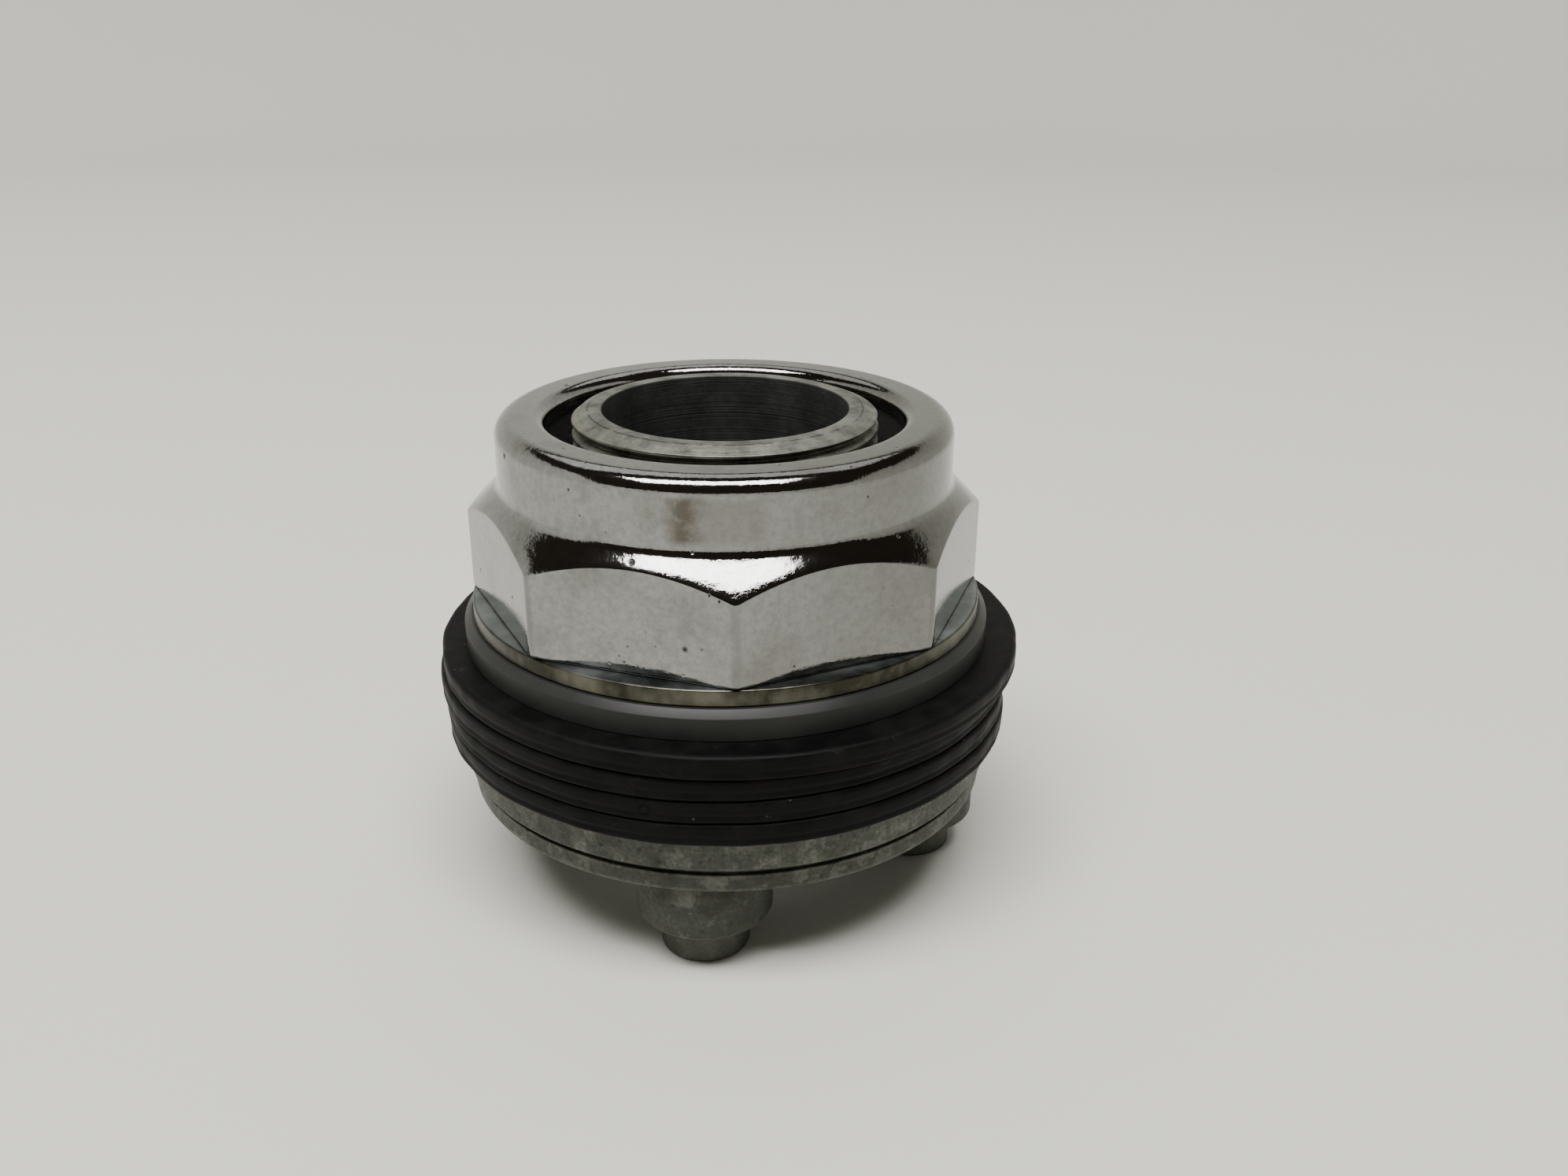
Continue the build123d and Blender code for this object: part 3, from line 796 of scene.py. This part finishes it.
ring_bore = 15.35 * mm
gasket_tree = ring_tree("moulded_gasket", black_rubber, fineness=120)
print("tree", gasket_tree.name, "has", len(gasket_tree.nodes), "nodes")

# %% Four gaskets
for i in range(1, 5):
    low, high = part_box(f"gasket_{i}")
    gasket = grow(
        f"rubber_gasket_{i}", gasket_tree,
        Inner_Radius=ring_bore, Outer_Radius=(high.x - low.x) / 2,
        Thickness=high.z - low.z, Edge=0.35 * mm, Height=low.z, Shift=(low.x + high.x) / 2,
        Line_Depth=0.11 * mm, Line_Drop=0.55 * mm, Waviness=0.12 * mm)
    settle(gasket, "housing", black_rubber, f"gasket_{i}")

# %% Washer
washer_tree = ring_tree("flat_washer", bright_zinc)
washer = grow(
    "zinc_washer", washer_tree, Inner_Radius=ring_bore, Outer_Radius=washer_r,
    Thickness=washer_top - washer_z, Edge=0.14 * mm, Height=washer_z,
    Shift=0.0, Line_Depth=0.0, Line_Drop=0.0, Waviness=0.0)
settle(washer, "washer", bright_zinc, "thrust_washer")

# %% [markdown]
# ## Plastic ring
#
# The ring above the gaskets has a bevel on its upper edge only, so it is turned from a profile
# instead of the symmetric tree.

# %% Plastic ring
trim_r, bevel = 19.5 * mm, 0.5 * mm
corners = [(ring_bore, trim_z), (trim_r, trim_z), (trim_r, trim_top - bevel),
           (trim_r - bevel, trim_top), (ring_bore, trim_top)]
trim_profile = soften(corners, [r * mm for r in (0.05, 0.1, 0.1, 0.08, 0.05)])
trim = turned("plastic_ring", trim_profile)
settle(trim, "housing", grey_plastic, "trim_ring")

# %% [markdown]
# ## Screw threads
#
# A thread is a groove that climbs one pitch for each turn. A turned blank with many rows gets
# it from a Geometry Nodes tree that moves each point inwards by a rule: the point's height and
# angle say where it is across the groove. Points already inside the groove's depth, as on a
# chamfer, stay where they are, so the thread runs out through the chamfer as a real one does.

# %% Geometry Nodes tree of a screw thread
def thread_tree(finish):
    """Cuts a helical groove into what lies outside a radius, between two heights."""
    sizes = ("Crest Radius", "Depth", "Pitch", "Bottom", "Top")
    tree, given = start_tree("screw_thread", *sizes, Blank="Geometry")
    x, y, z = add(tree, "ShaderNodeSeparateXYZ", Vector=point_of(tree)).outputs
    radius = sums(tree, "SQRT", sums(tree, "ADD", times(tree, x, x), times(tree, y, y)))
    turn = sums(tree, "DIVIDE", sums(tree, "ARCTAN2", y, x), math.tau)
    climb = sums(tree, "SUBTRACT", sums(tree, "DIVIDE", z, given["Pitch"]), turn)
    across = sums(tree, "MULTIPLY_ADD", sums(tree, "FRACT", climb), 2.0, -1.0)
    cut = steps(tree, sums(tree, "SUBTRACT", 1.0, sums(tree, "ABSOLUTE", across)), 0.22, 0.86)
    # The groove fades in over the first pitch and out over the last.
    above = sums(tree, "SUBTRACT", z, given["Bottom"])
    below = sums(tree, "SUBTRACT", given["Top"], z)
    fade_in = sums(tree, "DIVIDE", above, given["Pitch"], clamp=True)
    fade_out = sums(tree, "DIVIDE", below, given["Pitch"], clamp=True)
    depth = times(tree, times(tree, cut, given["Depth"]), times(tree, fade_in, fade_out))
    target = sums(tree, "MINIMUM", radius, sums(tree, "SUBTRACT", given["Crest Radius"], depth))
    scale = sums(tree, "DIVIDE", target, radius)
    moved = add(tree, "ShaderNodeCombineXYZ", X=times(tree, x, scale), Y=times(tree, y, scale), Z=z)
    reach_in = sums(tree, "SUBTRACT", given["Crest Radius"], times(tree, given["Depth"], 1.3))
    outside = sums(tree, "GREATER_THAN", radius, reach_in)
    low = sums(tree, "GREATER_THAN", z, given["Bottom"])
    high = sums(tree, "LESS_THAN", z, given["Top"])
    chosen = times(tree, outside, times(tree, low, high))
    shaped = add(tree, "GeometryNodeSetPosition", Geometry=given["Blank"],
                 Selection=chosen, Position=moved.outputs[0])
    return end_tree(tree, shaped.outputs[0], finish)


screw = thread_tree(turned_zinc)
print("tree", screw.name, "has", len(screw.nodes), "nodes")

# %% [markdown]
# ## Sleeve
#
# The sleeve stands free in the nut's mouth. Its end is a flat ring with a chamfer, and below that
# the thread for the lens cap. Inside, the bore steps in where the stem begins.

# %% Sleeve
def rows(radius, low, high, count):
    """Evenly spaced profile points up a straight wall."""
    return [(radius, low + (high - low) * k / count) for k in range(count + 1)]


sleeve_r, stem_r, stem_bore = 11.0 * mm, 9.4 * mm, 8.2 * mm
flange_z, flange_t, flange_r = 19.7 * mm, 1.6 * mm, 12.8 * mm
flange_top = flange_z + flange_t
shoulder_z = top_z - 0.45 * mm
relief_r, relief_z = sleeve_r - 0.4 * mm, shoulder_z - 4.6 * mm
stem = [(stem_bore, stem_z + edge_break), (stem_bore + edge_break, stem_z),
        (stem_r - edge_break, stem_z), (stem_r, stem_z + edge_break), (stem_r, flange_z)]
flange = [(flange_r - edge_break, flange_z), (flange_r, flange_z + edge_break),
          (flange_r, flange_top - edge_break), (flange_r - edge_break, flange_top)]
relief = [(sleeve_r, flange_top), (sleeve_r, relief_z - 0.55 * mm),
          (sleeve_r, relief_z - 0.5 * mm), (relief_r, relief_z - 0.5 * mm), (relief_r, relief_z)]
thread = rows(sleeve_r, relief_z, shoulder_z, count=110)
chamfer = [(sleeve_r + (flat_r - sleeve_r) * k / 14, shoulder_z + (top_z - shoulder_z) * k / 14)
           for k in range(1, 14)]
end = [(flat_r, top_z - 0.01 * mm), (flat_r - 0.08 * mm, top_z), (mouth_r + 0.12 * mm, top_z),
       (mouth_r + 0.03 * mm, top_z - 0.03 * mm), (mouth_r, top_z - 0.12 * mm)]
bore = [(mouth_r, flange_top), (stem_bore, flange_z)]
sleeve = turned("zinc_sleeve", stem + flange + relief + thread + chamfer + end + bore)
run_tree(sleeve, screw, Crest_Radius=sleeve_r, Depth=0.5 * mm, Pitch=1.0 * mm,
         Bottom=relief_z, Top=top_z + 1.5 * mm)
settle(sleeve, "sleeve", turned_zinc, "plunger_sleeve")

# %% [markdown]
# ## Base casting
#
# The casting is one piece of zinc: flange, neck and posts. Here the turned part is one skin, and
# the four stepped posts are grown by a tree that repeats one post round the circle.

# %% Base and neck
flange_out, neck_r, guide_r = 20.0 * mm, 15.0 * mm, 9.45 * mm
groove_r = lower_r - 0.32 * mm
recess_in, recess_out, recess_z = 11.4 * mm, 18.0 * mm, base_z + 1.0 * mm
snap_low, snap_high, snap_r = 27.0 * mm, 28.06 * mm, neck_bore + 0.6 * mm
corners = [(guide_r, base_z), (recess_in, base_z), (recess_in, recess_z), (recess_out, recess_z),
           (recess_out, base_z), (lower_r, base_z), (lower_r, groove_low), (groove_r, groove_low),
           (groove_r, groove_top), (flange_out, groove_top), (flange_out, deck_z), (neck_r, deck_z)]
rounds = [0.1, 0.1, 0.3, 0.3, 0.1, 0.45, 0.4, 0.22, 0.22, 0.4, 0.5, 0.0]
outside = soften(corners, [r * mm for r in rounds])
neck = rows(neck_r, trim_z, neck_z - 0.4 * mm, count=220)
inside = [(neck_r - 0.4 * mm, neck_z), (neck_bore + edge_break, neck_z),
          (neck_bore, neck_z - edge_break), (neck_bore, snap_high), (snap_r, snap_high),
          (snap_r, snap_low), (neck_bore, snap_low), (neck_bore, floor_z),
          (guide_r + edge_break, floor_z), (guide_r, floor_z - edge_break)]
base = turned("zinc_base", outside + neck + inside)
run_tree(base, screw, Crest_Radius=neck_r, Depth=0.6 * mm, Pitch=1.5 * mm,
         Bottom=trim_z, Top=neck_z)
print("base and neck have", len(base.data.polygons), "faces")

# %% Posts
def post_tree(finish):
    """A stepped round post repeated round the axis."""
    sizes = ("Circle Radius", "Start Angle")
    tree, given = start_tree("ring_of_posts", *sizes, Post="Geometry", Count="Int")
    ring = add(tree, "GeometryNodeMeshCircle",
               Vertices=given["Count"], Radius=given["Circle Radius"])
    angle = add(tree, "ShaderNodeCombineXYZ", Z=given["Start Angle"])
    turned_ring = add(tree, "GeometryNodeTransform",
                      Geometry=ring.outputs[0], Rotation=angle.outputs[0])
    copies = add(tree, "GeometryNodeInstanceOnPoints",
                 Points=turned_ring.outputs[0], Instance=given["Post"])
    return end_tree(tree, copies.outputs[0], finish)


pin_r, boss_r, hole_r = 3.15 * mm, 4.8 * mm, 1.25 * mm
corners = [(hole_r, 0.0), (pin_r, 0.0), (pin_r, pin_h), (boss_r, pin_h),
           (boss_r, recess_z), (hole_r, recess_z)]
post_profile = soften(corners, [r * mm for r in (0.15, 0.3, 0.15, 0.25, 0.0, 0.0)])
posts = turned("zinc_posts", post_profile, around=96)
run_tree(posts, post_tree(cast_zinc), Count=4, Circle_Radius=14.5 * mm,
         Start_Angle=math.radians(-97))
print("posts reach down to", round(min(v.co.z for v in posts.data.vertices) / mm, 3), "mm")

# %% Join the casting
bm = bmesh.new()
bm.from_mesh(base.data)
bm.from_mesh(posts.data)
bm.to_mesh(base.data)
bm.free()
bpy.data.objects.remove(posts)
settle(base, "housing", cast_zinc, "base_casting")

# %% [markdown]
# ## Return spring
#
# A compression spring has closed ends: the first and last turn lie flat. A tree draws it as a
# spiral whose height eases in and out, and sweeps a wire along it.

# %% Spring
def spring_tree(finish):
    """Compression spring with closed ends, standing on a height."""
    sizes = ("Coil Radius", "Wire Radius", "Length", "Turns", "Foot")
    tree, given = start_tree("closed_spring", *sizes)
    line = add(tree, "GeometryNodeCurvePrimitiveLine", End=(0.0, 0.0, 1.0))
    fine = add(tree, "GeometryNodeResampleCurve", Curve=line.outputs[0], Count=360)
    share = add(tree, "GeometryNodeSplineParameter").outputs["Factor"]
    angle = times(tree, times(tree, share, given["Turns"]), math.tau)
    rise = add(tree, "ShaderNodeMapRange", {"interpolation_type": "SMOOTHSTEP"}, Value=share,
               From_Min=0.12, From_Max=0.88, To_Min=0.0, To_Max=1.0)
    wire = given["Wire Radius"]
    travel = sums(tree, "SUBTRACT", given["Length"], times(tree, wire, 2.1))
    climb = sums(tree, "MULTIPLY_ADD", rise.outputs[0], travel, wire)
    height = sums(tree, "ADD", given["Foot"], climb)
    x = times(tree, given["Coil Radius"], sums(tree, "COSINE", angle))
    y = times(tree, given["Coil Radius"], sums(tree, "SINE", angle))
    place = add(tree, "ShaderNodeCombineXYZ", X=x, Y=y, Z=height)
    coil = add(tree, "GeometryNodeSetPosition", Geometry=fine.outputs[0], Position=place.outputs[0])
    section = add(tree, "GeometryNodeCurvePrimitiveCircle", Resolution=14, Radius=wire)
    body = add(tree, "GeometryNodeCurveToMesh", Curve=coil.outputs[0],
               Profile_Curve=section.outputs[0], Fill_Caps=True)
    smooth = add(tree, "GeometryNodeSetShadeSmooth", Geometry=body.outputs[0])
    return end_tree(tree, smooth.outputs[0], finish)


spring = grow("return_coil", spring_tree(bright_wire), Coil_Radius=11.15 * mm,
              Wire_Radius=0.45 * mm, Length=flange_z - floor_z, Turns=5.0, Foot=floor_z)
settle(spring, "housing", bright_wire, "return_spring")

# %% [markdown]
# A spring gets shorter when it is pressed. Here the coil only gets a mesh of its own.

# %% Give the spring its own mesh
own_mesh(spring)

# %% [markdown]
# ## Pieces that keep their solids
#
# The small pieces inside the neck already have the right shape, so only their finish changes.

# %% Finishes on the solids that stay
kept = {"guide_bushing": brass, "wiper_seal": black_rubber, "seal_retainer": blackened,
        "snap_ring": blackened, "guide_key": bright_wire}
for node, finish in kept.items():
    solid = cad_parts[node]
    for slot in solid.material_slots:
        slot.material = finish
    print(node, "gets", finish.name)

# %% [markdown]
# ## Table and light
#
# The table is a pale sheet that sweeps up all round, highest behind, so no horizon shows and the
# chrome has something pale to reflect from every side. Two flat lamps hang
# overhead: a bright strip a little in front, which the polished cone shows as its highlight, and a
# broad dim panel behind, which softens the shadows. The room is dim and brown, and the
# chrome picks that up beside the lamps, which is what makes it look like metal.

# %% Table sweep
def table_sweep(flat=0.60, curve=0.44, rise=0.66, front_share=0.38, around=96):
    """A pale sheet: flat in the middle, high behind and at the sides, lower in front."""
    rings = [(0.15, 0.0), (0.35, 0.0), (flat, 0.0)]
    rings += [(flat + curve * k / 12, rise * (k / 12) ** 2) for k in range(1, 13)]
    mesh = bpy.data.meshes.new("table_sweep")
    points, faces = [], []
    for radius, height in rings:
        for k in range(around):
            a = math.tau * k / around
            lean = min(1.0, max(0.0, (math.sin(a) + 0.75) / 0.7))
            back = 0.5 - 0.5 * math.cos(lean * math.pi)
            level = height * max(back, front_share)
            points.append((radius * math.cos(a), radius * math.sin(a), level))
    points.append((0, 0, 0))
    for i in range(len(rings) - 1):
        inner, outer = i * around, (i + 1) * around
        for k in range(around):
            n = (k + 1) % around
            faces.append((inner + k, outer + k, outer + n, inner + n))
    faces += [(k, (k + 1) % around, len(points) - 1) for k in range(around)]
    mesh.from_pydata(points, [], faces)
    mesh.polygons.foreach_set("use_smooth", [True] * len(mesh.polygons))
    sweep = bpy.data.objects.new("table_sweep", mesh)
    bpy.context.collection.objects.link(sweep)
    paper, tree, shader, place = start_finish("pale_paper")
    cloud = grain(tree, place, 6, 3)
    colour = blend_colour(tree, cloud, (0.57, 0.575, 0.53, 1), (0.605, 0.61, 0.565, 1))
    dress(tree, shader, colour, 0.85)
    mesh.materials.append(paper)
    return sweep


print("table sweep has", len(table_sweep().data.polygons), "faces")

# %% Lamps and room
def lamp(name, low, high, height, watts, colour):
    """A flat rectangular lamp that shines straight down, from its two corners in X and Y."""
    data = bpy.data.lights.new(name, "AREA")
    data.shape, data.size, data.size_y = "RECTANGLE", high[0] - low[0], high[1] - low[1]
    data.energy, data.color = watts, colour
    made = bpy.data.objects.new(name, data)
    made.location = ((low[0] + high[0]) / 2, (low[1] + high[1]) / 2, height)
    bpy.context.collection.objects.link(made)
    return made


lamp("near_strip", (-0.60, -0.50), (0.38, -0.12), 1.0, 24, (1.0, 0.985, 0.975))
lamp("far_panel", (-0.75, 0.30), (0.60, 1.15), 1.0, 4.5, (1.0, 0.985, 0.955))
world = bpy.data.worlds.new("dim_room")
bpy.context.scene.world = world
world.use_nodes = True
world.node_tree.nodes["Background"].inputs[0].default_value = (0.42, 0.33, 0.26, 1)
world.node_tree.nodes["Background"].inputs[1].default_value = 0.12
